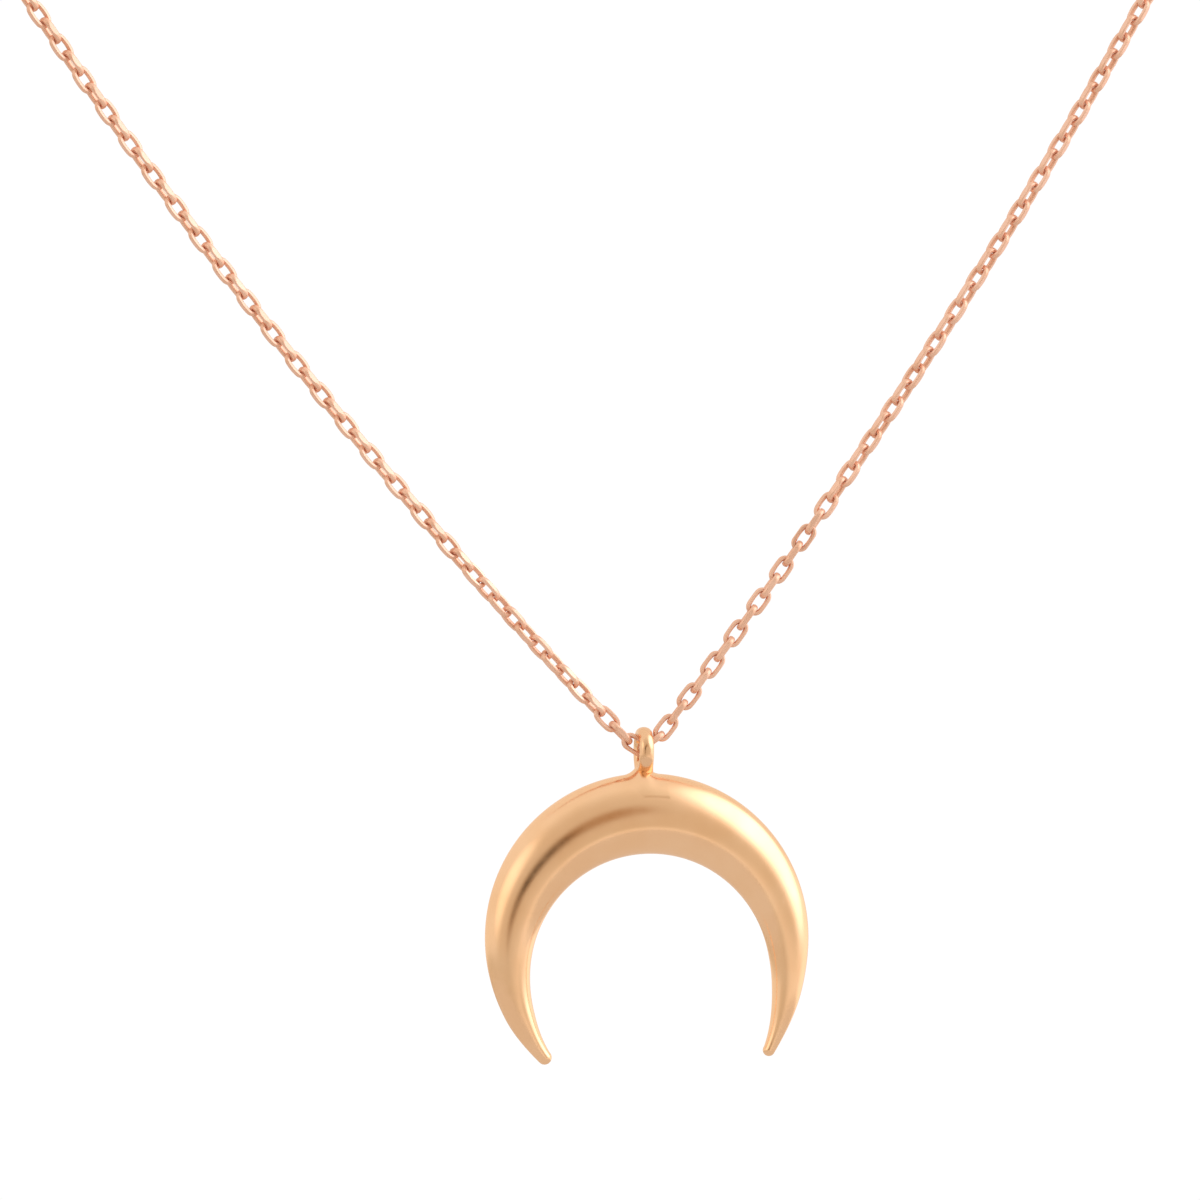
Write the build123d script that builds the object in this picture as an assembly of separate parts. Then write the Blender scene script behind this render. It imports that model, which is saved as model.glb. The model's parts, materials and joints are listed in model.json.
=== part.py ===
from build123d import *
from math import asinh, atan2, cos, cosh, degrees, hypot, radians, sin, sqrt, tan
import os

# A crescent pendant on a fine cable chain, closed at the nape by a spring ring.
# Millimetres, +Z up. The origin is the middle of the neck opening, level with the
# two side links that rest on the neck. The wearer faces -Y, so the front of the
# chain hangs in the plane y = -FRONT_DEPTH and "left" is the -X side.

# Chain link: an oval of four tangent arcs in oval wire, pressed flat on both faces and
# diamond-cut on both long sides
LINK_WIRE = 0.34
LINK_WIRE_DEPTH = 0.46
LINK_PITCH = 1.345
LINK_PLAY = 0.07
LINK_HALF_WIDTH = 0.48
LINK_END_RADIUS = 0.44
LINK_CUT_WIDTH = 1.21
LINK_CUT_DEPTH = 0.42

# Front of the chain: two strands of one hanging curve, met by the apex links in the bail
FRONT_DEPTH = 30.0
APEX = Vector(3.84, -FRONT_DEPTH, -84.0)
CHAIN_SAG = 150.0
STRAND_RISE = 62.0
STRAND_SLOPE = {-1: 45.3, 1: 52.3}
APEX_SLOPE = {-1: 31.6, 1: 35.2}

# How far the links of each strand are turned about the chain: the turn at the apex, then
# each change in it with the first and the last link of the stretch that it is spread over
TWIST_START = {-1: 0.0, 1: 90.0}
TWIST_CHANGES = {-1: [(45.0, 0, 7), (-25.0, 9, 15)], 1: [(-2.0, 0, 2), (-43.0, 11, 19)]}

# Neck opening: the chain goes back over the shoulders and round the nape
NECK_HALF_WIDTH = 58.0
NECK_DEPTH = 74.3
NECK_SLOPE = 22.0
SHOULDER_HANDLES = (20.0, 20.0)

# Nodes of chain in each strand and each back run, and the steps each curve is measured in
FRONT_GROUPS = 7
BACK_GROUPS = 6
CURVE_STEPS = 600

# Crescent: the space between two circles, one above the other, puffed and hollow. Its horns
# spread a little from the circles, the right one more, and taper to round tips.
CRESCENT_RADIUS = 11.16
CRESCENT_INNER_RADIUS = 8.30
CRESCENT_OFFSET = 2.63
CRESCENT_FROM_APEX = Vector(0.38, 0, -12.83)
CRESCENT_PUFF = 0.76
CRESCENT_WALL = 0.22
CRESCENT_LEAN = 5.0
CRESCENT_CREST = 0.64
HORN_END = {-1: 128.5, 1: 132.5}
HORN_SPREAD = {-1: 0.22, 1: 0.80}
HORN_TAPER = 0.13
SPREAD_START = 90.0
TAPER_START = 108.0
ROUNDING_START = 60.0
HOLLOW_END = 105.0
SECTION_STEP = 15

# Bail: oval wire ring, its hole facing along X
BAIL_WIRE_WIDTH = 1.0
BAIL_WIRE_THICKNESS = 0.7
BAIL_HOLE_RADIUS = 0.8
BAIL_HOLE_STRAIGHT = 0.30
BAIL_FROM_APEX = Vector(0.16, 0, -0.02)

# Spring-ring clasp, upright at the nape, and the two rings that it joins
CLASP_RADIUS = 2.4
CLASP_TUBE = 1.2
CLASP_BORE = 0.76
BOLT_WIRE = 0.66
BOLT_TRAVEL = 50.0
GAP_HALF_ANGLE = 22.0
BOLT_TIP_ANGLE = -29.0
KNOB_ANGLE = 46.0
BOLT_TAIL_ANGLE = 56.0
BORE_ANGLES = (-36.0, 136.0)
KNOB_DIAMETER = 0.6
KNOB_HEAD = 0.95
KNOB_REACH = 3.5
SLOT_WIDTH = 0.72
SLOT_MARGIN = 9.5
SPRING_WIRE = 0.12
SPRING_RADIUS = 0.24
SPRING_PITCH = 0.19
SPRING_LENGTH = 0.95
SPRING_ANGLE = 121.0
EYE_RADIUS = 0.8
EYE_WIRE = 0.44
EYE_SINK = 0.08
JUMP_RADIUS = 1.25
JUMP_WIRE = 0.4
END_RING_RADIUS = 1.7
END_RING_WIRE = 0.4
RING_PLAY = 0.09

X = Vector(1, 0, 0)
Y = Vector(0, 1, 0)
Z = Vector(0, 0, 1)

# Half the length of a link's wire centreline, and how far it reaches past a junction.
# At the sharp bend of the apex, the end wire of the right link is the pivot of the left one.
link_half_length = (LINK_PITCH + LINK_PLAY + LINK_WIRE) / 2
link_hook = link_half_length - LINK_PITCH / 2
apex_hook = {-1: 2 * link_hook, 1: 0.0}
neck_back = Vector(0, cos(radians(NECK_SLOPE)), sin(radians(NECK_SLOPE)))
nape = neck_back * NECK_DEPTH

# Where the last junction of each chain end lies, left and right of the clasp's centre
eye_centre = -(CLASP_RADIUS + CLASP_TUBE / 2 + EYE_RADIUS - EYE_SINK)
jump_inner = eye_centre - EYE_RADIUS + (EYE_WIRE + JUMP_WIRE) / 2 + RING_PLAY
jump_centre = jump_inner - JUMP_RADIUS
left_end = jump_centre - JUMP_RADIUS + (JUMP_WIRE + LINK_WIRE) / 2 + RING_PLAY - link_hook
end_ring_inner = CLASP_RADIUS - (BOLT_WIRE + END_RING_WIRE) / 2 - RING_PLAY
end_ring_centre = end_ring_inner + END_RING_RADIUS
right_end = end_ring_centre + END_RING_RADIUS - (END_RING_WIRE + LINK_WIRE) / 2 - RING_PLAY + link_hook
chain_end = {-1: -left_end, 1: right_end}


def mix(a, b, share):
    return a * (1 - share) + b * share


def ramp(value, low, high):
    """0 below LOW, 1 above HIGH and a smooth step between."""
    t = min(max((value - low) / (high - low), 0), 1)
    return t * t * (3 - 2 * t)


def twist(side, number):
    """How far link NUMBER of a front strand is turned about the chain, in degrees."""
    changes = [change * ramp(number, low, high) for change, low, high in TWIST_CHANGES[side]]
    return TWIST_START[side] + sum(changes)


def strand(side):
    """Points up a front strand's hanging curve, from the upper end of its apex link."""
    slope = radians(APEX_SLOPE[side])
    reach = 2 * link_half_length - link_hook - apex_hook[side]
    lowest = APEX + Vector(side * cos(slope), 0, sin(slope)) * reach
    start = asinh(tan(radians(STRAND_SLOPE[side])))
    top = cosh(start) + (STRAND_RISE + APEX.Z - lowest.Z) / CHAIN_SAG
    end = asinh(sqrt(top * top - 1))
    points = []
    for n in range(CURVE_STEPS + 1):
        here = mix(start, end, n / CURVE_STEPS)
        across = side * CHAIN_SAG * (here - start)
        up = CHAIN_SAG * (cosh(here) - cosh(start))
        points.append(lowest + Vector(across, 0, up))
    return points


def shoulder(side, start, direction):
    """Points of the bend from the top of a strand to its side link."""
    end = Vector(side * NECK_HALF_WIDTH, 0, 0)
    handles = (start + direction * SHOULDER_HANDLES[0], end - neck_back * SHOULDER_HANDLES[1])
    points = []
    for n in range(1, CURVE_STEPS + 1):
        t = n / CURVE_STEPS
        s = 1 - t
        near = start * s**3 + handles[0] * (3 * s * s * t)
        far = handles[1] * (3 * s * t * t) + end * t**3
        points.append(near + far)
    return points


def nape_run(side):
    """Points of the elliptical run from a side link to the end of the chain."""
    reach = NECK_HALF_WIDTH - chain_end[side]
    points = []
    for n in range(CURVE_STEPS + 1):
        angle = radians(90 * (1 - n / CURVE_STEPS))
        across = side * (chain_end[side] + reach * sin(angle))
        points.append(Vector(across, 0, 0) + nape * cos(angle))
    return points


def junctions(points, trim, odd):
    """Evenly spaced points where links hook together, with an odd or even number of links.
    TRIM is (start, end): lengths of the run to leave out."""
    travelled = [0.0]
    for a, b in zip(points, points[1:]):
        travelled.append(travelled[-1] + (b - a).length)
    length = travelled[-1] - trim[0] - trim[1]
    count = 2 * round((length / LINK_PITCH - odd) / 2) + odd
    found = []
    k = 0
    for n in range(count + 1):
        wanted = trim[0] + length * n / count
        while k < len(points) - 2 and travelled[k + 1] < wanted:
            k += 1
        share = (wanted - travelled[k]) / (travelled[k + 1] - travelled[k])
        found.append(mix(points[k], points[k + 1], share))
    return found


def square_to(direction, vector):
    """The unit vector square to DIRECTION that is nearest to VECTOR."""
    along = direction.normalized()
    return (vector - along * vector.dot(along)).normalized()


def link_plane(start, end, facing, turn):
    """The plane of a link between two junctions: local x along the link, local z through its hole."""
    along = (end - start).normalized()
    square = square_to(along, facing)
    normal = square * cos(radians(turn)) + along.cross(square) * sin(radians(turn))
    return Plane(origin=(start + end) / 2, x_dir=along, z_dir=normal)


def front_planes(side):
    """The planes of a front strand's links, from the apex to the link before the side link."""
    points = strand(side)
    top = points[-1]
    direction = (top - points[-2]).normalized()
    hooks = junctions(points + shoulder(side, top, direction), (0, LINK_PITCH / 2), odd=1)
    apex_shift = (hooks[0] - APEX).normalized() * (apex_hook[side] - link_hook)
    hooks = [APEX - apex_shift, *hooks]
    facings = [Y]
    for a, b in zip(hooks, hooks[1:]):
        facings.append(square_to(b - a, facings[-1]))
    along = (hooks[-1] - hooks[-2]).normalized()
    wanted = square_to(along, X * side)
    swivel = degrees(atan2(along.dot(facings[-1].cross(wanted)), facings[-1].dot(wanted)))
    bend_start = sum(hook.Z < top.Z for hook in hooks)
    planes = []
    for n, (a, b) in enumerate(zip(hooks, hooks[1:])):
        share = ramp(n, bend_start, len(hooks) - 2)
        turn = mix(twist(side, n), swivel, share) + 90 * (n % 2)
        planes.append(link_plane(a, b, facings[n + 1], turn))
    return planes


def back_planes(side):
    """The planes of a back run's links, from the one after the side link to the chain's end."""
    hooks = junctions(nape_run(side), (LINK_PITCH / 2, 0), odd=0)
    count = len(hooks) - 1
    planes = []
    for n, (a, b) in enumerate(zip(hooks, hooks[1:])):
        share = ramp((n + 1) / count, 0, 1)
        planes.append(link_plane(a, b, mix(X * side, Y, share), 90 * ((n + 1) % 2)))
    return planes


def oval(half_length, half_width, end_radius):
    """A closed oval of four tangent arcs on the XY plane."""
    c = half_length - end_radius
    b = half_width - end_radius
    h = (c * c - b * b) / (2 * b)
    side_radius = half_width + h
    share = end_radius / hypot(c, h)
    tip = Vector(c + share * c, share * h, 0)
    mirror_x = Vector(-tip.X, tip.Y, 0)
    mirror_both = Vector(-tip.X, -tip.Y, 0)
    mirror_y = Vector(tip.X, -tip.Y, 0)
    return Wire(
        [
            Edge.make_three_point_arc(tip, Vector(0, side_radius - h, 0), mirror_x),
            Edge.make_three_point_arc(mirror_x, Vector(-half_length, 0, 0), mirror_both),
            Edge.make_three_point_arc(mirror_both, Vector(0, h - side_radius, 0), mirror_y),
            Edge.make_three_point_arc(mirror_y, Vector(half_length, 0, 0), tip),
        ]
    )


def make_link():
    """One link about the origin, long along X, with a diamond-cut flat on each long side."""
    path = oval(link_half_length, LINK_HALF_WIDTH, LINK_END_RADIUS)
    along = path.tangent_at(0)
    start = Plane(origin=path.position_at(0), x_dir=along.cross(Z), z_dir=along)
    wire = sweep(start * Ellipse(LINK_WIRE / 2, LINK_WIRE_DEPTH / 2), path=path)
    return (wire & Box(3 * link_half_length, LINK_CUT_WIDTH, LINK_CUT_DEPTH)).solid()


def side_of(angle):
    """The side, -1 or 1, that a direction ANGLE degrees from the top points to."""
    return 1 if angle > 0 else -1


def crescent_radii(angle):
    """How far the crescent's edges are from the point midway between its two circle centres,
    outer then inner, at ANGLE degrees from the top."""
    a = radians(angle)
    side = side_of(angle)
    half = CRESCENT_OFFSET / 2
    outer = half * cos(a) + sqrt(CRESCENT_RADIUS**2 - (half * sin(a)) ** 2)
    inner = sqrt(CRESCENT_INNER_RADIUS**2 - (half * sin(a)) ** 2) - half * cos(a)
    opened = max(0, (abs(angle) - SPREAD_START) / (HORN_END[side] - SPREAD_START)) ** 2
    spread = HORN_SPREAD[side] * opened
    taper = HORN_TAPER * ramp(abs(angle), TAPER_START, HORN_END[side])
    return outer + spread - taper, inner + spread + taper


def crescent_section(angle, shrink):
    """The crescent's outline at ANGLE degrees from its top, SHRINK smaller all round.
    It is egg-shaped, with the crest nearer the inner edge, and turns round towards the tips."""
    outer, inner = crescent_radii(angle)
    width = outer - inner
    rounding = ramp(abs(angle), ROUNDING_START, HORN_END[side_of(angle)])
    crest = mix(CRESCENT_CREST, 0.5, rounding)
    puff = mix(CRESCENT_PUFF, 1.0, rounding)
    ray = X * sin(radians(angle)) + Z * cos(radians(angle))
    middle = Z * (-CRESCENT_OFFSET / 2) + ray * (outer - width * crest)
    outward = width * crest - shrink
    inward = width * (1 - crest) - shrink
    thick = width * puff / 2 - shrink
    plane = Plane(origin=middle, x_dir=ray, z_dir=Y.cross(ray))
    quarters = [(outward, 0, 90), (inward, 90, 180), (inward, 180, 270), (outward, 270, 360)]
    return Wire([Edge.make_ellipse(r, thick, plane, low, high) for r, low, high in quarters])


def crescent_solid():
    """The filled crescent about the centre of its outer circle, with rounded horn tips."""
    steps = {
        side: [*range(SECTION_STEP, int(end - SECTION_STEP / 2), SECTION_STEP), end]
        for side, end in HORN_END.items()
    }
    angles = [-a for a in reversed(steps[-1])] + [0] + steps[1]
    body = Solid.make_loft([crescent_section(a, 0) for a in angles])
    for side, horn_end in HORN_END.items():
        outer, inner = crescent_radii(side * horn_end)
        a = radians(side * horn_end)
        centre = Z * (-CRESCENT_OFFSET / 2) + (X * sin(a) + Z * cos(a)) * ((outer + inner) / 2)
        pointing = X * side * cos(a) - Z * side * sin(a)
        end = Plane(origin=centre, z_dir=pointing)
        body += Solid.make_sphere((outer - inner) / 2, end, 0, 90, 360)
    return body


def crescent_hollow():
    """The space inside the crescent, which stops short of the solid horn tips."""
    count = int(HOLLOW_END // SECTION_STEP)
    angles = [SECTION_STEP * n for n in range(-count, count + 1)]
    return Solid.make_loft([crescent_section(a, CRESCENT_WALL) for a in angles])


def make_pendant():
    """The two crescent shells and the bail, in place under the apex."""
    place = Location(APEX + CRESCENT_FROM_APEX) * Rot(0, -CRESCENT_LEAN, 0)
    filled = place * crescent_solid()
    shell = filled - place * crescent_hollow()
    half = Box(4 * CRESCENT_RADIUS, CRESCENT_RADIUS, 4 * CRESCENT_RADIUS)
    behind = Location(APEX + Y * CRESCENT_RADIUS / 2) * half
    front = Location(APEX - Y * CRESCENT_RADIUS / 2) * half
    return {
        "crescent_front_shell": (shell & front).solids(),
        "crescent_back_shell": (shell & behind).solids(),
        "bail_ring": (make_bail() - filled).solids(),
    }


def make_bail():
    """The oval bail ring, whole, hanging on the apex of the chain."""
    radius = BAIL_HOLE_RADIUS + BAIL_WIRE_THICKNESS / 2
    centre = APEX + BAIL_FROM_APEX
    low = centre - Z * BAIL_HOLE_STRAIGHT
    front, back = Y * -radius, Y * radius
    path = Wire(
        [
            Edge.make_line(low + front, centre + front),
            Edge.make_three_point_arc(centre + front, centre + Z * radius, centre + back),
            Edge.make_line(centre + back, low + back),
            Edge.make_three_point_arc(low + back, low - Z * radius, low + front),
        ]
    )
    section = Ellipse(BAIL_WIRE_WIDTH / 2, BAIL_WIRE_THICKNESS / 2)
    return sweep(Plane(origin=low + front, x_dir=X, z_dir=Z) * section, path=path)


def arc_sweep(profile, radius, start, end):
    """PROFILE, at RADIUS from the Z axis, turned round it from START to END degrees."""
    section = Plane.XZ * Pos(radius, 0) * profile
    return Rot(0, 0, start) * revolve(section, Axis.Z, end - start)


def make_clasp():
    """The spring-ring clasp about the origin in the XY plane, opening towards +X."""
    body = Torus(CLASP_RADIUS, CLASP_TUBE / 2)
    body -= arc_sweep(Circle(CLASP_BORE / 2), CLASP_RADIUS, *BORE_ANGLES)
    gap = Rectangle(2 * CLASP_TUBE, 2 * CLASP_TUBE)
    body -= arc_sweep(gap, CLASP_RADIUS, -GAP_HALF_ANGLE, GAP_HALF_ANGLE)
    slot_ends = (KNOB_ANGLE - SLOT_MARGIN, KNOB_ANGLE + BOLT_TRAVEL + SLOT_MARGIN)
    body -= arc_sweep(Rectangle(CLASP_TUBE, SLOT_WIDTH), CLASP_RADIUS + CLASP_TUBE / 2, *slot_ends)

    bolt = arc_sweep(Circle(BOLT_WIRE / 2), CLASP_RADIUS, BOLT_TIP_ANGLE, BOLT_TAIL_ANGLE)
    stem_length = KNOB_REACH - CLASP_RADIUS
    stem = Rot(0, 90, 0) * Cylinder(KNOB_DIAMETER / 2, stem_length)
    stem = Pos(CLASP_RADIUS + stem_length / 2, 0, 0) * stem
    head = Pos(KNOB_REACH, 0, 0) * Sphere(KNOB_HEAD / 2)
    bolt += Rot(0, 0, KNOB_ANGLE) * (stem + head)

    coil = Helix(SPRING_PITCH, SPRING_LENGTH, SPRING_RADIUS)
    turn = Plane(origin=coil @ 0, z_dir=coil % 0) * Circle(SPRING_WIRE / 2)
    spring = sweep(turn, path=coil, is_frenet=True)
    along = Rot(0, 0, SPRING_ANGLE) * Pos(CLASP_RADIUS, 0, 0) * Rot(-90, 0, 0)
    spring = along * Pos(0, 0, -SPRING_LENGTH / 2) * spring

    eye = Pos(eye_centre, 0, 0) * Torus(EYE_RADIUS, EYE_WIRE / 2) - Torus(CLASP_RADIUS, CLASP_TUBE / 2)
    place = Plane(origin=nape, x_dir=X, z_dir=Y).location
    made = {"clasp_body": body, "clasp_bolt": bolt, "clasp_spring": spring, "clasp_eye": eye}
    return {name: (place * shape).solids() for name, shape in made.items()}


def make_end_rings():
    """The jump ring and the end ring, lying flat, either side of the clasp."""
    jump = Location(nape + X * jump_centre) * Torus(JUMP_RADIUS, JUMP_WIRE / 2)
    end = Location(nape + X * end_ring_centre) * Torus(END_RING_RADIUS, END_RING_WIRE / 2)
    return {"jump_ring": jump.solids(), "end_ring": end.solids()}


def in_groups(planes, count):
    """PLANES in COUNT runs of nearly equal length."""
    edges = [round(len(planes) * n / count) for n in range(count + 1)]
    return [planes[a:b] for a, b in zip(edges, edges[1:])]


def make_chain():
    """Every link, in named runs along the chain."""
    link = make_link()
    runs = {"apex_links": []}
    for side, word in ((-1, "left"), (1, "right")):
        front = front_planes(side)
        runs["apex_links"].append(front[0])
        for n, group in enumerate(in_groups(front[1:], FRONT_GROUPS), 1):
            runs[f"chain_front_{word}_{n}"] = group
        middle = X * side * NECK_HALF_WIDTH
        runs[f"side_link_{word}"] = [Plane(origin=middle, x_dir=neck_back, z_dir=X * side)]
        for n, group in enumerate(in_groups(back_planes(side), BACK_GROUPS), 1):
            runs[f"chain_back_{word}_{n}"] = group
    return {name: [plane.location * link for plane in planes] for name, planes in runs.items()}


def main():
    os.makedirs("parts", exist_ok=True)
    parts = {**make_chain(), **make_pendant(), **make_clasp(), **make_end_rings()}
    for name, solids in parts.items():
        export_step(Compound(list(solids)), f"parts/{name}.step")


main()
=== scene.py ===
import json
import math
import random

import bmesh
import bpy
import numpy as np
from mathutils import Matrix, Vector


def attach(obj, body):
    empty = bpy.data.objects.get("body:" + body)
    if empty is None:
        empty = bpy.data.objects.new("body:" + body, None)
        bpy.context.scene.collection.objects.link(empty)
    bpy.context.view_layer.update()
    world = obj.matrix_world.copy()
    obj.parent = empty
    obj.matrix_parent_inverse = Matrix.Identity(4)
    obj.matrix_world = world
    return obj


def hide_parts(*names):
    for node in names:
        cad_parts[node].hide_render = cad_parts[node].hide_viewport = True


# A crescent pendant on a fine cable chain, closed at the nape by a spring ring.
# The chain's route and the crescent's sections are the CAD's own formulas, in
# millimetres; pieces are scaled to metres when their meshes are made.

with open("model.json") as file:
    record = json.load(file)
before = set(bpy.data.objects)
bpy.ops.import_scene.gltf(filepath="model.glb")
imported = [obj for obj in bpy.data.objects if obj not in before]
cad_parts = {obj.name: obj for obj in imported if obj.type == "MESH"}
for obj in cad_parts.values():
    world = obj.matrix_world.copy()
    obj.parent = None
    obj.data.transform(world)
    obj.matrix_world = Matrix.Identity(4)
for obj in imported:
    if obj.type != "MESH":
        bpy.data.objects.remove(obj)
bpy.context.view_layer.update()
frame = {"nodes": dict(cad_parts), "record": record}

MM = 0.001

# Chain link
LINK_WIRE = 0.34
LINK_WIRE_DEPTH = 0.46
LINK_PITCH = 1.345
LINK_PLAY = 0.07
LINK_HALF_WIDTH = 0.48
LINK_END_RADIUS = 0.44
LINK_CUT_WIDTH = 1.21
LINK_CUT_DEPTH = 0.42

# Front of the chain
FRONT_DEPTH = 30.0
APEX = Vector((3.84, -FRONT_DEPTH, -84.0))
CHAIN_SAG = 150.0
STRAND_RISE = 62.0
STRAND_SLOPE = {-1: 45.3, 1: 52.3}
APEX_SLOPE = {-1: 31.6, 1: 35.2}
TWIST_START = {-1: 0.0, 1: 90.0}
TWIST_CHANGES = {-1: [(45.0, 0, 7), (-25.0, 9, 15)], 1: [(-2.0, 0, 2), (-43.0, 11, 19)]}

# Neck opening
NECK_HALF_WIDTH = 58.0
NECK_DEPTH = 74.3
NECK_SLOPE = 22.0
SHOULDER_HANDLES = (20.0, 20.0)
FRONT_GROUPS = 7
BACK_GROUPS = 6
CURVE_STEPS = 600

# Crescent
CRESCENT_RADIUS = 11.16
CRESCENT_INNER_RADIUS = 8.30
CRESCENT_OFFSET = 2.63
CRESCENT_FROM_APEX = Vector((0.38, 0, -12.83))
CRESCENT_PUFF = 0.76
CRESCENT_WALL = 0.22
CRESCENT_LEAN = 5.0
CRESCENT_CREST = 0.64
HORN_END = {-1: 128.5, 1: 132.5}
HORN_SPREAD = {-1: 0.22, 1: 0.80}
HORN_TAPER = 0.13
SPREAD_START = 90.0
TAPER_START = 108.0
ROUNDING_START = 60.0
HOLLOW_END = 105.0

# Bail
BAIL_WIRE_WIDTH = 1.0
BAIL_WIRE_THICKNESS = 0.7
BAIL_HOLE_RADIUS = 0.8
BAIL_HOLE_STRAIGHT = 0.30
BAIL_FROM_APEX = Vector((0.16, 0, -0.02))

# Clasp and end rings: only what decides where the chain ends
CLASP_RADIUS = 2.4
CLASP_TUBE = 1.2
BOLT_WIRE = 0.66
EYE_RADIUS = 0.8
EYE_WIRE = 0.44
EYE_SINK = 0.08
JUMP_RADIUS = 1.25
JUMP_WIRE = 0.4
END_RING_RADIUS = 1.7
END_RING_WIRE = 0.4
RING_PLAY = 0.09

X = Vector((1, 0, 0))
Y = Vector((0, 1, 0))
Z = Vector((0, 0, 1))

link_half_length = (LINK_PITCH + LINK_PLAY + LINK_WIRE) / 2
link_hook = link_half_length - LINK_PITCH / 2
apex_hook = {-1: 2 * link_hook, 1: 0.0}
neck_back = Vector((0, math.cos(math.radians(NECK_SLOPE)), math.sin(math.radians(NECK_SLOPE))))
nape = neck_back * NECK_DEPTH

eye_centre = -(CLASP_RADIUS + CLASP_TUBE / 2 + EYE_RADIUS - EYE_SINK)
jump_inner = eye_centre - EYE_RADIUS + (EYE_WIRE + JUMP_WIRE) / 2 + RING_PLAY
jump_centre = jump_inner - JUMP_RADIUS
left_end = jump_centre - JUMP_RADIUS + (JUMP_WIRE + LINK_WIRE) / 2 + RING_PLAY - link_hook
end_ring_inner = CLASP_RADIUS - (BOLT_WIRE + END_RING_WIRE) / 2 - RING_PLAY
end_ring_centre = end_ring_inner + END_RING_RADIUS
right_end = end_ring_centre + END_RING_RADIUS - (END_RING_WIRE + LINK_WIRE) / 2 - RING_PLAY + link_hook
chain_end = {-1: -left_end, 1: right_end}


def mix(a, b, share):
    return a * (1 - share) + b * share


def ramp(value, low, high):
    """0 below LOW, 1 above HIGH and a smooth step between."""
    t = min(max((value - low) / (high - low), 0), 1)
    return t * t * (3 - 2 * t)


# ---------------------------------------------------------------- the chain's route

def twist(side, number):
    """How far link NUMBER of a front strand is turned about the chain, in degrees."""
    changes = [change * ramp(number, low, high) for change, low, high in TWIST_CHANGES[side]]
    return TWIST_START[side] + sum(changes)


def strand(side):
    """Points up a front strand's hanging curve, from the upper end of its apex link."""
    slope = math.radians(APEX_SLOPE[side])
    reach = 2 * link_half_length - link_hook - apex_hook[side]
    lowest = APEX + Vector((side * math.cos(slope), 0, math.sin(slope))) * reach
    start = math.asinh(math.tan(math.radians(STRAND_SLOPE[side])))
    top = math.cosh(start) + (STRAND_RISE + APEX.z - lowest.z) / CHAIN_SAG
    end = math.asinh(math.sqrt(top * top - 1))
    points = []
    for n in range(CURVE_STEPS + 1):
        here = mix(start, end, n / CURVE_STEPS)
        across = side * CHAIN_SAG * (here - start)
        up = CHAIN_SAG * (math.cosh(here) - math.cosh(start))
        points.append(lowest + Vector((across, 0, up)))
    return points


def shoulder(side, start, direction):
    """Points of the bend from the top of a strand to its side link."""
    end = Vector((side * NECK_HALF_WIDTH, 0, 0))
    handles = (start + direction * SHOULDER_HANDLES[0], end - neck_back * SHOULDER_HANDLES[1])
    points = []
    for n in range(1, CURVE_STEPS + 1):
        t = n / CURVE_STEPS
        s = 1 - t
        near = start * s**3 + handles[0] * (3 * s * s * t)
        far = handles[1] * (3 * s * t * t) + end * t**3
        points.append(near + far)
    return points


def nape_run(side):
    """Points of the elliptical run from a side link to the end of the chain."""
    reach = NECK_HALF_WIDTH - chain_end[side]
    points = []
    for n in range(CURVE_STEPS + 1):
        angle = math.radians(90 * (1 - n / CURVE_STEPS))
        across = side * (chain_end[side] + reach * math.sin(angle))
        points.append(Vector((across, 0, 0)) + nape * math.cos(angle))
    return points


def junctions(points, trim, odd):
    """Evenly spaced points where links hook together, with an odd or even number of links."""
    travelled = [0.0]
    for a, b in zip(points, points[1:]):
        travelled.append(travelled[-1] + (b - a).length)
    length = travelled[-1] - trim[0] - trim[1]
    count = 2 * round((length / LINK_PITCH - odd) / 2) + odd
    found = []
    k = 0
    for n in range(count + 1):
        wanted = trim[0] + length * n / count
        while k < len(points) - 2 and travelled[k + 1] < wanted:
            k += 1
        share = (wanted - travelled[k]) / (travelled[k + 1] - travelled[k])
        found.append(mix(points[k], points[k + 1], share))
    return found


def square_to(direction, vector):
    along = direction.normalized()
    return (vector - along * vector.dot(along)).normalized()


def link_place(start, end, facing, turn):
    """A link's placing: its x axis along the chain and its z axis through its hole."""
    along = (end - start).normalized()
    square = square_to(along, facing)
    normal = square * math.cos(math.radians(turn)) + along.cross(square) * math.sin(math.radians(turn))
    return (start + end) / 2, along, normal.cross(along), normal


def front_places(side):
    """The placings of a front strand's links, from the apex to the link before the side link."""
    points = strand(side)
    top = points[-1]
    direction = (top - points[-2]).normalized()
    hooks = junctions(points + shoulder(side, top, direction), (0, LINK_PITCH / 2), odd=1)
    apex_shift = (hooks[0] - APEX).normalized() * (apex_hook[side] - link_hook)
    hooks = [APEX - apex_shift, *hooks]
    facings = [Y]
    for a, b in zip(hooks, hooks[1:]):
        facings.append(square_to(b - a, facings[-1]))
    along = (hooks[-1] - hooks[-2]).normalized()
    wanted = square_to(along, X * side)
    swivel = math.degrees(math.atan2(along.dot(facings[-1].cross(wanted)), facings[-1].dot(wanted)))
    bend_start = sum(hook.z < top.z for hook in hooks)
    places = []
    for n, (a, b) in enumerate(zip(hooks, hooks[1:])):
        share = ramp(n, bend_start, len(hooks) - 2)
        turn = mix(twist(side, n), swivel, share) + 90 * (n % 2)
        places.append(link_place(a, b, facings[n + 1], turn))
    return places


def back_places(side):
    """The placings of a back run's links, from the one after the side link to the chain's end."""
    hooks = junctions(nape_run(side), (LINK_PITCH / 2, 0), odd=0)
    count = len(hooks) - 1
    places = []
    for n, (a, b) in enumerate(zip(hooks, hooks[1:])):
        share = ramp((n + 1) / count, 0, 1)
        places.append(link_place(a, b, mix(X * side, Y, share), 90 * ((n + 1) % 2)))
    return places


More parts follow.
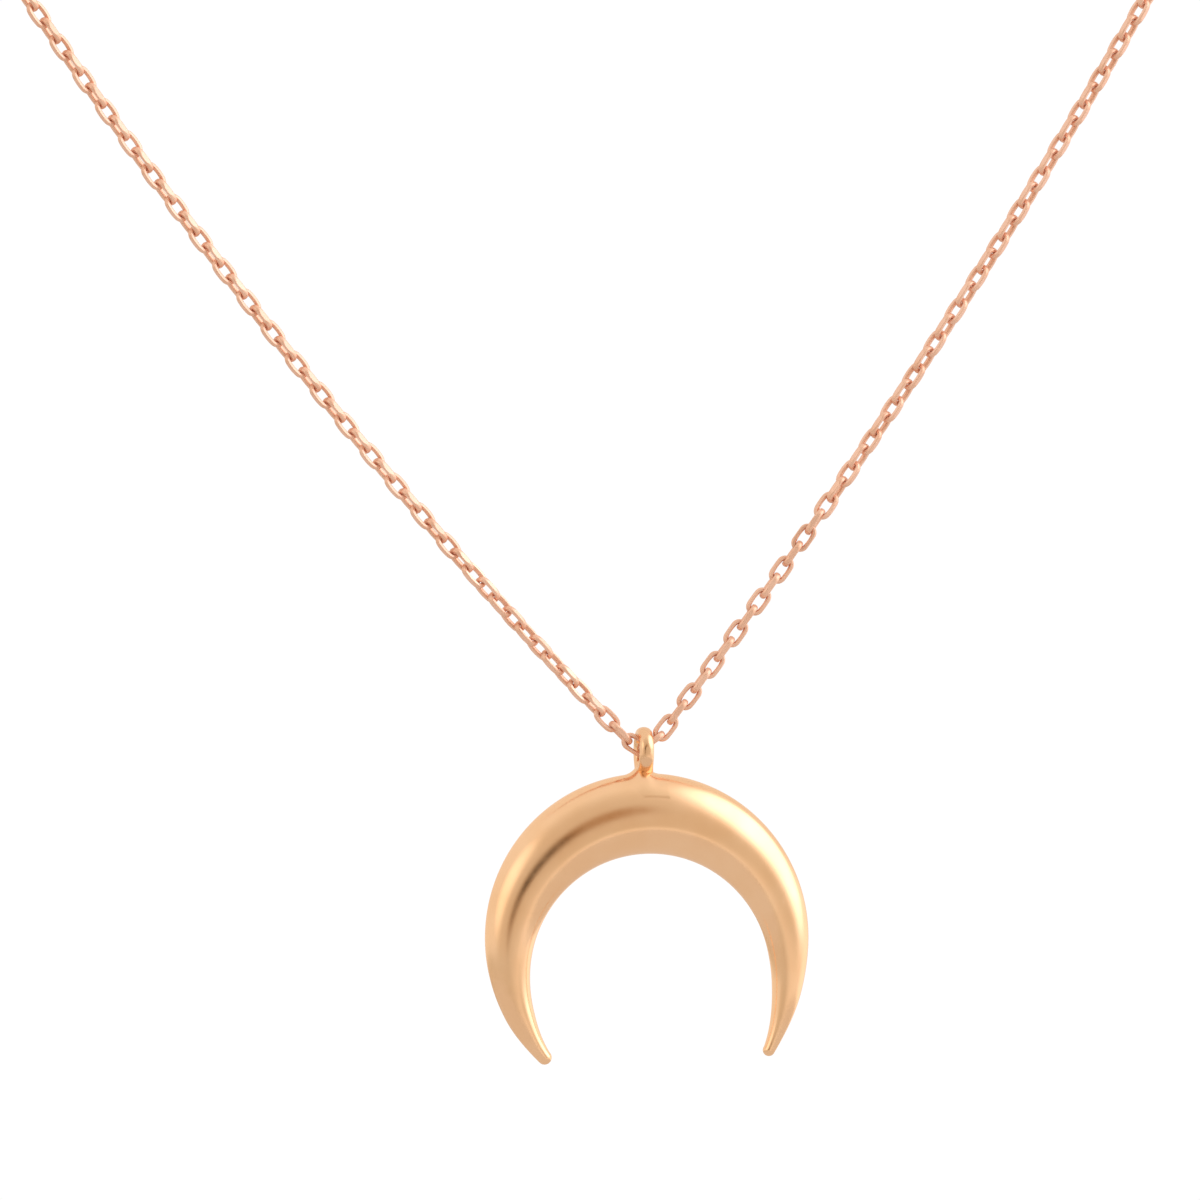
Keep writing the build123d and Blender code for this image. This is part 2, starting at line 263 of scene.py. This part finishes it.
def in_groups(places, count):
    edges = [round(len(places) * n / count) for n in range(count + 1)]
    return [places[a:b] for a, b in zip(edges, edges[1:])]


# ---------------------------------------------------------------- materials

def node_tree(material):
    material.use_nodes = True
    tree = material.node_tree
    tree.nodes.clear()
    return tree


def add(tree, kind, inputs=(), **settings):
    node = tree.nodes.new(kind)
    for name, value in settings.items():
        setattr(node, name, value)
    for socket, value in dict(inputs).items():
        if isinstance(value, bpy.types.NodeSocket):
            tree.links.new(value, node.inputs[socket])
        else:
            node.inputs[socket].default_value = value
    return node


def blend_colours(tree, share, first, second):
    node = tree.nodes.new("ShaderNodeMix")
    node.data_type = "RGBA"
    tree.links.new(share, node.inputs["Factor"])
    for socket, value in ((node.inputs[6], first), (node.inputs[7], second)):
        if isinstance(value, bpy.types.NodeSocket):
            tree.links.new(value, socket)
        else:
            socket.default_value = (*value, 1)
    return node.outputs[2]


# Fine structure of every metal: spacings in millimetres, the roughness that a scratch adds, its
# depth against the polishing marks, and the height in metres that they stand out
TINT_SPACING = 3.1
SMUDGE_SPACING = 1.7
SCRATCH_STRETCH = (1, 7, 7)
SCRATCH_DULLING = 0.06
SCRATCH_DEPTH = 0.5
RELIEF = 2e-6
POLISHED_EDGE = (1.0, 0.94, 0.88)
CHAIN_EDGE = (0.80, 0.66, 0.58)


def metal(name, light, deep, roughness, grain, scratches, bump, edge=POLISHED_EDGE, metallic=1.0):
    """A polished metal: its colour drifts between LIGHT and DEEP, its gloss between two
    roughnesses, and fine polishing marks and scratches break up its reflections.
    GRAIN is the marks' spacing in millimetres, along X, Y and Z, and EDGE tints the metal
    where it is seen at a glancing angle."""
    material = bpy.data.materials.new(name)
    tree = node_tree(material)
    place = add(tree, "ShaderNodeTexCoord").outputs["Object"]

    def noise(spacing, detail=2.0, rough=0.5, stretch=(1, 1, 1)):
        scale = [1 / (MM * spacing * s) for s in stretch]
        where = add(tree, "ShaderNodeMapping", {"Vector": place, "Scale": scale}).outputs["Vector"]
        return add(tree, "ShaderNodeTexNoise",
                   {"Vector": where, "Scale": 1.0, "Detail": detail, "Roughness": rough}).outputs["Fac"]

    def band(value, low, high, to_low, to_high):
        return add(tree, "ShaderNodeMapRange",
                   {"Value": value, "From Min": low, "From Max": high, "To Min": to_low, "To Max": to_high}
                   ).outputs["Result"]

    def total(first, second):
        return add(tree, "ShaderNodeMath", {0: first, 1: second}, operation="ADD").outputs[0]

    tint = blend_colours(tree, band(noise(TINT_SPACING), 0.35, 0.65, 0, 1), deep, light)
    smudge = band(noise(SMUDGE_SPACING, 4.0, 0.6), 0.3, 0.7, *roughness)
    marks = noise(grain[0], 3.0, 0.65, grain[1])
    scratch = band(noise(scratches, 5.0, 0.75, SCRATCH_STRETCH), 0.60, 0.68, 0, 1)
    worn = total(smudge, band(scratch, 0, 1, 0, SCRATCH_DULLING))
    height = total(marks, band(scratch, 0, 1, 0, -SCRATCH_DEPTH))
    relief = add(tree, "ShaderNodeBump",
                 {"Strength": bump, "Distance": RELIEF, "Height": height}).outputs["Normal"]
    shader = add(tree, "ShaderNodeBsdfPrincipled", {
        "Base Color": tint, "Metallic": metallic, "Roughness": worn, "Normal": relief,
        "IOR": 1.45, "Specular Tint": (*edge, 1.0),
    }).outputs["BSDF"]
    out = tree.nodes.new("ShaderNodeOutputMaterial")
    tree.links.new(shader, out.inputs["Surface"])
    return material


crescent_gold = metal("crescent_rose_gold", (0.99, 0.625, 0.365), (0.96, 0.585, 0.325), (0.17, 0.23),
                      (0.05, (1, 1, 1)), 0.5, 0.22)
chain_gold = metal("chain_rose_gold", (0.95, 0.59, 0.42), (0.89, 0.52, 0.35), (0.36, 0.46),
                   (0.04, (1, 1, 1)), 0.3, 0.12, CHAIN_EDGE, 0.62)
cut_gold = metal("chain_cut_facets", (0.97, 0.62, 0.46), (0.93, 0.57, 0.41), (0.26, 0.34),
                 (0.03, (1, 8, 1)), 0.3, 0.08, CHAIN_EDGE, 0.62)
bail_gold = metal("bail_gold", (0.95, 0.59, 0.34), (0.90, 0.53, 0.29), (0.16, 0.22),
                  (0.05, (1, 1, 1)), 0.4, 0.2)
clasp_gold = metal("clasp_rose_gold", (0.98, 0.61, 0.40), (0.93, 0.56, 0.35), (0.14, 0.22),
                   (0.05, (1, 1, 1)), 0.4, 0.3)
steel = metal("spring_steel", (0.66, 0.65, 0.63), (0.56, 0.55, 0.53), (0.2, 0.3),
              (0.03, (1, 1, 1)), 0.3, 0.3)


# ---------------------------------------------------------------- mesh making

def piece(name, verts, faces, materials, node, kinds=None, sharp=30):
    """A piece from points in millimetres, standing for a CAD node and riding on its body."""
    mesh = bpy.data.meshes.new(name)
    mesh.from_pydata((np.asarray(verts, float) * MM).tolist(), [], faces)
    for material in materials:
        mesh.materials.append(material)
    if kinds is not None:
        mesh.polygons.foreach_set("material_index", kinds)
    mesh.update()
    mesh.shade_smooth()
    mesh.set_sharp_from_angle(angle=math.radians(sharp))
    made = bpy.data.objects.new(name, mesh)
    bpy.context.scene.collection.objects.link(made)
    body = next(b for b, nodes in frame["record"]["behaviour"]["bodies"].items() if node in nodes)
    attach(made, body)
    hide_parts(node)
    return made


# The link's grid: steps along the wire, and round it across the cut side, up to the pressed
# face, over the face, round the inside, and back over the other face
LINK_STEPS = 64
ROUND_STEPS = (6, 3, 2, 6, 2, 3)
LEAST_CUT = math.radians(25)

# The soldered seam of a link: how much thicker its wire is there, and over what length
SEAM_SWELL = 0.03
SEAM_LENGTH = 0.11

# How far a link lies out of true about its length and in its own plane, in degrees
LINK_SLIP = 0.9
LINK_TILT = 0.5


def link_round(cut_half):
    """The angles round the wire's section where the grid's lines run, from one edge of the cut."""
    face = math.asin(LINK_CUT_DEPTH / LINK_WIRE_DEPTH)
    full = 2 * math.pi
    stops = (-cut_half, cut_half, face, math.pi - face, math.pi + face, full - face, full - cut_half)
    angles = []
    for low, high, steps in zip(stops, stops[1:], ROUND_STEPS):
        angles += [mix(low, high, n / steps) for n in range(steps)]
    return angles


def link_mesh():
    """One link about the origin: its points, faces and each face's material."""
    c = link_half_length - LINK_END_RADIUS
    b = LINK_HALF_WIDTH - LINK_END_RADIUS
    h = (c * c - b * b) / (2 * b)
    side_radius = LINK_HALF_WIDTH + h
    turn = math.atan2(h, c)
    arcs = [
        (Vector((c, 0)), LINK_END_RADIUS, -turn, turn),
        (Vector((0, -h)), side_radius, turn, math.pi - turn),
        (Vector((-c, 0)), LINK_END_RADIUS, math.pi - turn, math.pi + turn),
        (Vector((0, h)), side_radius, math.pi + turn, 2 * math.pi - turn),
    ]
    rows = []
    for centre, radius, low, high in arcs:
        for n in range(LINK_STEPS // 4):
            angle = mix(low, high, n / (LINK_STEPS // 4))
            outward = Vector((math.cos(angle), math.sin(angle)))
            rows.append((centre + outward * radius, outward))
    seam = rows[LINK_STEPS // 16][0]
    cut, face = LINK_CUT_WIDTH / 2, LINK_CUT_DEPTH / 2
    around = sum(ROUND_STEPS)
    verts = []
    for middle, outward in rows:
        bead = 1 + SEAM_SWELL * math.exp(-((middle - seam).length / SEAM_LENGTH) ** 2)
        reach = (cut - abs(middle.y)) / max(abs(outward.y), 0.01) / (LINK_WIRE / 2 * bead)
        cut_half = max(math.acos(min(max(reach, -1), 1)), LEAST_CUT)
        for angle in link_round(cut_half):
            at = middle + outward * (LINK_WIRE / 2 * bead * math.cos(angle))
            across = math.copysign(min(abs(at.y), cut), at.y)
            up = LINK_WIRE_DEPTH / 2 * bead * math.sin(angle)
            verts.append((at.x, across, min(max(up, -face), face)))
    faces, kinds = [], []
    for n in range(LINK_STEPS):
        for k in range(around):
            ring, up = (n + 1) % LINK_STEPS, (k + 1) % around
            corners = (n * around + k, ring * around + k, ring * around + up, n * around + up)
            faces.append(corners)
            on_cut = all(abs(abs(verts[i][1]) - cut) < 1e-9 for i in corners)
            on_face = all(abs(abs(verts[i][2]) - face) < 1e-9 for i in corners)
            kinds.append(1 if on_cut or on_face else 0)
    return np.array(verts), faces, kinds


link_verts, link_faces, link_kinds = link_mesh()
draw = random.Random(11)


def chain_run(node, places):
    """A named run of links as one piece. Each link lies a little out of true."""
    verts, faces, kinds = [], [], []
    for origin, along, across, normal in places:
        axes = Matrix((along, across, normal)).transposed()
        slip = Matrix.Rotation(math.radians(draw.gauss(0, LINK_SLIP)), 3, "X")
        tilt = Matrix.Rotation(math.radians(draw.gauss(0, LINK_TILT)), 3, "Z")
        turned = np.array(axes @ slip @ tilt)
        if draw.random() < 0.5:
            turned = turned @ np.diag((-1, -1, 1))
        start = len(link_verts) * len(verts)
        verts.append(link_verts @ turned.T + np.array(origin))
        faces.extend(tuple(i + start for i in corners) for corners in link_faces)
        kinds.extend(link_kinds)
    metals = [chain_gold, cut_gold]
    piece(node + "_wire", np.concatenate(verts), faces, metals, node, kinds)


def make_chain():
    runs = {"apex_links": []}
    for side, word in ((-1, "left"), (1, "right")):
        front = front_places(side)
        runs["apex_links"].append(front[0])
        for n, group in enumerate(in_groups(front[1:], FRONT_GROUPS), 1):
            runs[f"chain_front_{word}_{n}"] = group
        middle = X * side * NECK_HALF_WIDTH
        runs[f"side_link_{word}"] = [link_place(middle - neck_back, middle + neck_back, X * side, 0)]
        for n, group in enumerate(in_groups(back_places(side), BACK_GROUPS), 1):
            runs[f"chain_back_{word}_{n}"] = group
    for node, places in runs.items():
        chain_run(node, places)


# ---------------------------------------------------------------- the crescent and its bail

lean = Matrix.Rotation(math.radians(-CRESCENT_LEAN), 3, "Y")
crescent_middle = APEX + CRESCENT_FROM_APEX
CRESCENT_STEPS = 260
HALF_ROUND = 48
TIP_RINGS = 14


def side_of(angle):
    return 1 if angle > 0 else -1


def crescent_radii(angle):
    a = math.radians(angle)
    side = side_of(angle)
    half = CRESCENT_OFFSET / 2
    outer = half * math.cos(a) + math.sqrt(CRESCENT_RADIUS**2 - (half * math.sin(a)) ** 2)
    inner = math.sqrt(CRESCENT_INNER_RADIUS**2 - (half * math.sin(a)) ** 2) - half * math.cos(a)
    opened = max(0, (abs(angle) - SPREAD_START) / (HORN_END[side] - SPREAD_START)) ** 2
    spread = HORN_SPREAD[side] * opened
    taper = HORN_TAPER * ramp(abs(angle), TAPER_START, HORN_END[side])
    return outer + spread - taper, inner + spread + taper


def crescent_arc(angle, shrink, facing):
    """Half of the crescent's section at ANGLE degrees from its top, from its outer edge to its
    inner edge, over the front (FACING -1) or the back (1), SHRINK smaller all round."""
    outer, inner = crescent_radii(angle)
    width = outer - inner
    rounding = ramp(abs(angle), ROUNDING_START, HORN_END[side_of(angle)])
    crest = mix(CRESCENT_CREST, 0.5, rounding)
    puff = mix(CRESCENT_PUFF, 1.0, rounding)
    ray = X * math.sin(math.radians(angle)) + Z * math.cos(math.radians(angle))
    middle = Z * (-CRESCENT_OFFSET / 2) + ray * (outer - width * crest)
    outward = width * crest - shrink
    inward = width * (1 - crest) - shrink
    thick = width * puff / 2 - shrink
    points = []
    for k in range(HALF_ROUND + 1):
        t = math.pi * k / HALF_ROUND
        reach = outward if t < math.pi / 2 else inward
        points.append(middle + ray * (reach * math.cos(t)) + Y * (facing * thick * math.sin(t)))
    return points


def tip_arcs(side, facing):
    """The half rings of a horn's round end, from its last section to just short of its pole."""
    outer, inner = crescent_radii(side * HORN_END[side])
    a = math.radians(side * HORN_END[side])
    ray = X * math.sin(a) + Z * math.cos(a)
    centre = Z * (-CRESCENT_OFFSET / 2) + ray * ((outer + inner) / 2)
    pointing = X * (side * math.cos(a)) - Z * (side * math.sin(a))
    radius = (outer - inner) / 2
    rings = []
    for n in range(1, TIP_RINGS):
        lift = math.pi / 2 * n / TIP_RINGS
        ring = []
        for k in range(HALF_ROUND + 1):
            t = math.pi * k / HALF_ROUND
            flat = ray * math.cos(t) + Y * (facing * math.sin(t))
            ring.append(centre + pointing * (radius * math.sin(lift)) + flat * (radius * math.cos(lift)))
        rings.append(ring)
    return rings, centre + pointing * radius


def crescent_shell(name, facing, node):
    """Half of the hollow crescent, front or back of its seam, as one closed wall."""
    verts, faces = [], []

    def put(points):
        start = len(verts)
        verts.extend(points)
        return list(range(start, start + len(points)))

    angles = np.linspace(-HORN_END[-1], HORN_END[1], CRESCENT_STEPS)
    tips = {side: tip_arcs(side, facing) for side in (-1, 1)}
    rings = [put(ring) for ring in reversed(tips[-1][0])]
    rings += [put(crescent_arc(a, 0, facing)) for a in angles]
    rings += [put(ring) for ring in tips[1][0]]
    hollow = {a: put(crescent_arc(a, CRESCENT_WALL, facing)) for a in angles if abs(a) <= HOLLOW_END + 0.5}
    skip = TIP_RINGS - 1
    for a, b in zip(rings, rings[1:]):
        faces.extend((a[k], b[k], b[k + 1], a[k + 1]) for k in range(HALF_ROUND))
    for side, ring in ((-1, rings[0]), (1, rings[-1])):
        pole = put([tips[side][1]])[0]
        faces.extend((ring[k], ring[k + 1], pole) for k in range(HALF_ROUND))
        faces.append((ring[0], ring[-1], pole))
    inside = [hollow[a] for a in angles if a in hollow]
    for a, b in zip(inside, inside[1:]):
        faces.extend((a[k], a[k + 1], b[k + 1], b[k]) for k in range(HALF_ROUND))
    faces.append(tuple(inside[0]))
    faces.append(tuple(reversed(inside[-1])))
    lined = [None] * skip + [hollow.get(a) for a in angles] + [None] * skip
    for n, (a, b) in enumerate(zip(rings, rings[1:])):
        here, there = lined[n], lined[n + 1]
        if here and there:
            faces.append((a[0], here[0], there[0], b[0]))
            faces.append((here[-1], a[-1], b[-1], there[-1]))
        elif here:
            faces.append((a[0], here[0], here[-1], a[-1], b[-1], b[0]))
        elif there:
            faces.append((a[0], a[-1], b[-1], there[-1], there[0], b[0]))
        else:
            faces.append((a[0], a[-1], b[-1], b[0]))
    placed = [crescent_middle + lean @ point for point in verts]
    points = [tuple(point) for point in placed]
    made = piece(name, points, faces, [crescent_gold], node, sharp=50)
    tidy_normals(made)


def tidy_normals(made):
    work = bmesh.new()
    work.from_mesh(made.data)
    bmesh.ops.recalc_face_normals(work, faces=work.faces)
    work.to_mesh(made.data)
    work.free()


BAIL_STEPS = 96
BAIL_ROUND = 32
BAIL_FLARE = 0.20
BAIL_FLARE_HEIGHT = 0.26


def make_bail():
    """The oval bail ring, flaring into a fillet of solder where it meets the crescent."""
    radius = BAIL_HOLE_RADIUS + BAIL_WIRE_THICKNESS / 2
    centre = APEX + BAIL_FROM_APEX
    straight = BAIL_HOLE_STRAIGHT
    length = 2 * straight + 2 * math.pi * radius
    verts, faces = [], []
    for n in range(BAIL_STEPS):
        way = length * n / BAIL_STEPS
        if way < straight:
            at, outward = Vector((0, -radius, way - straight)), Vector((0, -1, 0))
        elif way < straight + math.pi * radius:
            turn = (way - straight) / radius
            outward = Vector((0, -math.cos(turn), math.sin(turn)))
            at = outward * radius
        elif way < 2 * straight + math.pi * radius:
            at, outward = Vector((0, radius, straight + math.pi * radius - way)), Vector((0, 1, 0))
        else:
            turn = (way - 2 * straight - math.pi * radius) / radius
            outward = Vector((0, math.cos(turn), -math.sin(turn)))
            at = outward * radius + Vector((0, 0, -straight))
        for k in range(BAIL_ROUND):
            t = 2 * math.pi * k / BAIL_ROUND
            side = X * (BAIL_WIRE_WIDTH / 2 * math.cos(t)) + outward * (BAIL_WIRE_THICKNESS / 2 * math.sin(t))
            point = centre + at + side
            above = (point - crescent_middle).length - CRESCENT_RADIUS
            flare = BAIL_FLARE * math.exp(-(max(above, 0) / BAIL_FLARE_HEIGHT) ** 1.5)
            point += X * (math.copysign(1, math.cos(t)) * abs(math.cos(t)) ** 1.3 * flare)
            verts.append(tuple(point))
    for n in range(BAIL_STEPS):
        ring = (n + 1) % BAIL_STEPS
        for k in range(BAIL_ROUND):
            up = (k + 1) % BAIL_ROUND
            low, high = n * BAIL_ROUND, ring * BAIL_ROUND
            faces.append((low + k, high + k, high + up, low + up))
    made = piece("bail_loop", verts, faces, [bail_gold], "bail_ring", sharp=60)
    tidy_normals(made)


# The fillet of solder: its patch on the crescent's top edge reaches SOLDER_HALF each way along X
# and Y, and it swells by SOLDER_RISE and spreads by SOLDER_SPREAD
SOLDER_STEPS = 48
SOLDER_HALF = (1.50, 1.75)
SOLDER_SHIFT = -0.18
SOLDER_SPREAD = (0.64, 0.95)
SOLDER_RISE = 0.58
SOLDER_ROOT = 0.12
SOLDER_TUCK = 0.02


def make_solder():
    """The fillet of solder that runs out over the crescent's top edge from the foot of the bail."""
    outer, inner = crescent_radii(0)
    crest = (outer - inner) * CRESCENT_CREST
    thick = (outer - inner) * CRESCENT_PUFF / 2
    foot = lean.transposed() @ (APEX + BAIL_FROM_APEX + Z * -CRESCENT_RADIUS / 8 - crescent_middle)
    top, under = [], []
    for i in range(SOLDER_STEPS + 1):
        for j in range(SOLDER_STEPS + 1):
            dx = SOLDER_HALF[0] * (2 * i / SOLDER_STEPS - 1)
            y = SOLDER_HALF[1] * (2 * j / SOLDER_STEPS - 1)
            x = foot.x + SOLDER_SHIFT + dx
            skin = math.sqrt(CRESCENT_RADIUS**2 - x * x) - crest * (1 - math.sqrt(1 - (y / thick) ** 2))
            rise = SOLDER_RISE * math.exp(-(dx / SOLDER_SPREAD[0]) ** 2 - (y / SOLDER_SPREAD[1]) ** 2)
            top.append(Vector((x, y, skin + rise - SOLDER_TUCK)))
            under.append(Vector((x, y, skin - SOLDER_ROOT)))
    row = SOLDER_STEPS + 1
    faces = []
    for i in range(SOLDER_STEPS):
        for j in range(SOLDER_STEPS):
            k = i * row + j
            faces.append((k, k + row, k + row + 1, k + 1))
            faces.append(tuple(row * row + n for n in (k, k + 1, k + row + 1, k + row)))
    rim = list(range(row)) + [i * row + row - 1 for i in range(1, row)]
    rim += [row * row - 1 - j for j in range(1, row)] + [(row - 1 - i) * row for i in range(1, row - 1)]
    for a, b in zip(rim, rim[1:] + rim[:1]):
        faces.append((a, b, b + row * row, a + row * row))
    placed = [tuple(crescent_middle + lean @ point) for point in top + under]
    made = piece("bail_solder", placed, faces, [crescent_gold], "bail_ring", sharp=60)
    tidy_normals(made)


make_chain()
crescent_shell("crescent_front", -1, "crescent_front_shell")
crescent_shell("crescent_back", 1, "crescent_back_shell")
make_bail()
make_solder()

for name in ("clasp_body", "clasp_bolt", "clasp_eye", "jump_ring", "end_ring", "clasp_spring"):
    data = frame["nodes"][name].data
    data.materials.clear()
    data.materials.append(steel if name == "clasp_spring" else clasp_gold)


# ---------------------------------------------------------------- camera, light and floor

CAMERA_AZIMUTH = -10.0
CAMERA_DISTANCE = 1.0
VIEW_WIDTH = 0.0815
AIM = Vector((0.00098, -0.030, -0.0739))
scene = bpy.context.scene

swing = math.radians(CAMERA_AZIMUTH)
toward_camera = Vector((math.sin(swing), -math.cos(swing), 0))
lens = bpy.data.cameras.new("camera")
lens.sensor_width = 36.0
lens.lens = lens.sensor_width * CAMERA_DISTANCE / VIEW_WIDTH
lens.clip_start = 0.01
lens.clip_end = 20.0
camera = bpy.data.objects.new("camera", lens)
camera.location = AIM + toward_camera * CAMERA_DISTANCE
camera.rotation_euler = (-toward_camera).to_track_quat("-Z", "Y").to_euler()
scene.collection.objects.link(camera)
scene.camera = camera

# Floor: a pale round table well below the pendant
FLOOR_RADIUS = 0.7
FLOOR_HEIGHT = -0.32
FLOOR_COLOUR = (0.68, 0.67, 0.66, 1)
bpy.ops.mesh.primitive_circle_add(
    vertices=128, radius=FLOOR_RADIUS, fill_type="NGON", location=(0, 0, FLOOR_HEIGHT)
)
floor = bpy.context.object
floor.name = "floor"
paint = bpy.data.materials.new("floor_paint")
tree = node_tree(paint)
matt = add(tree, "ShaderNodeBsdfPrincipled", {"Base Color": FLOOR_COLOUR, "Roughness": 0.9})
out = tree.nodes.new("ShaderNodeOutputMaterial")
tree.links.new(matt.outputs["BSDF"], out.inputs["Surface"])
floor.data.materials.append(paint)

# Light tent: white walls, warmer and dimmer towards the photographer, who stands dark in its
# opening, with a large soft lamp high on the right and a smaller one on the left
world = bpy.data.worlds.new("light_tent")
scene.world = world
world.use_nodes = True
tree = world.node_tree
tree.nodes.clear()
direction = add(tree, "ShaderNodeTexCoord").outputs["Generated"]


def lobe(centre, start, full):
    """How far a direction is into a round patch: 0 at START degrees from its centre, 1 at FULL."""
    near = add(tree, "ShaderNodeVectorMath", {0: direction, 1: Vector(centre).normalized()},
               operation="DOT_PRODUCT")
    ramped = add(tree, "ShaderNodeMapRange", {
        "Value": near.outputs["Value"],
        "From Min": math.cos(math.radians(start)), "From Max": math.cos(math.radians(full)),
    }, interpolation_type="SMOOTHSTEP")
    return ramped.outputs["Result"]


WALL = (0.93, 0.91, 0.88)
OPENING = (0.71, 0.66, 0.58)
TABLE_LEFT = (0.68, 0.65, 0.59)
TABLE_RIGHT = (1.0, 0.96, 0.92)
KEY = (2.3, 2.35, 2.55)
RIM = (1.28, 1.25, 1.26)
FILL = (1.40, 1.34, 1.24)
DARK = (0.02, 0.01, 0.003)
DUSK = (0.40, 0.24, 0.12)


def fade(value, start, full):
    return add(tree, "ShaderNodeMapRange", {"Value": value, "From Min": start, "From Max": full},
               interpolation_type="SMOOTHSTEP").outputs["Result"]


axes = add(tree, "ShaderNodeSeparateXYZ", {0: direction}).outputs
table = blend_colours(tree, fade(axes["X"], -0.35, 0.45), TABLE_LEFT, TABLE_RIGHT)
light = blend_colours(tree, lobe((-0.05, -1, 0.0), 68, 34), WALL, OPENING)
light = blend_colours(tree, fade(axes["Z"], -0.07, -0.20), light, table)
light = blend_colours(tree, lobe((-0.75, -0.55, 0.30), 22, 6), light, FILL)
light = blend_colours(tree, lobe((0.95, 0.27, -0.14), 38, 12), light, RIM)
light = blend_colours(tree, lobe((0.80, -0.33, 0.50), 38, 16), light, KEY)
for centre in ((-0.29, -0.955, 0.03), (-0.24, -0.955, 0.12), (-0.18, -0.955, 0.20), (-0.10, -0.95, 0.275),
               (0.0, -0.95, 0.315), (0.08, -0.94, 0.345)):
    light = blend_colours(tree, lobe(centre, 8.5, 3), light, DUSK)
for centre in ((-0.28, -0.955, 0.05), (-0.24, -0.96, 0.12), (-0.18, -0.96, 0.20)):
    light = blend_colours(tree, lobe(centre, 6, 2), light, DARK)
seen = add(tree, "ShaderNodeLightPath").outputs["Is Camera Ray"]
shown = blend_colours(tree, seen, light, (1.02, 1.02, 1.02))
background = add(tree, "ShaderNodeBackground", {"Color": shown, "Strength": 1.0})
out = tree.nodes.new("ShaderNodeOutputWorld")
tree.links.new(background.outputs["Background"], out.inputs["Surface"])

scene.view_settings.view_transform = "Standard"
scene.view_settings.look = "None"
scene.view_settings.exposure = 0.0
scene.view_settings.gamma = 1.0
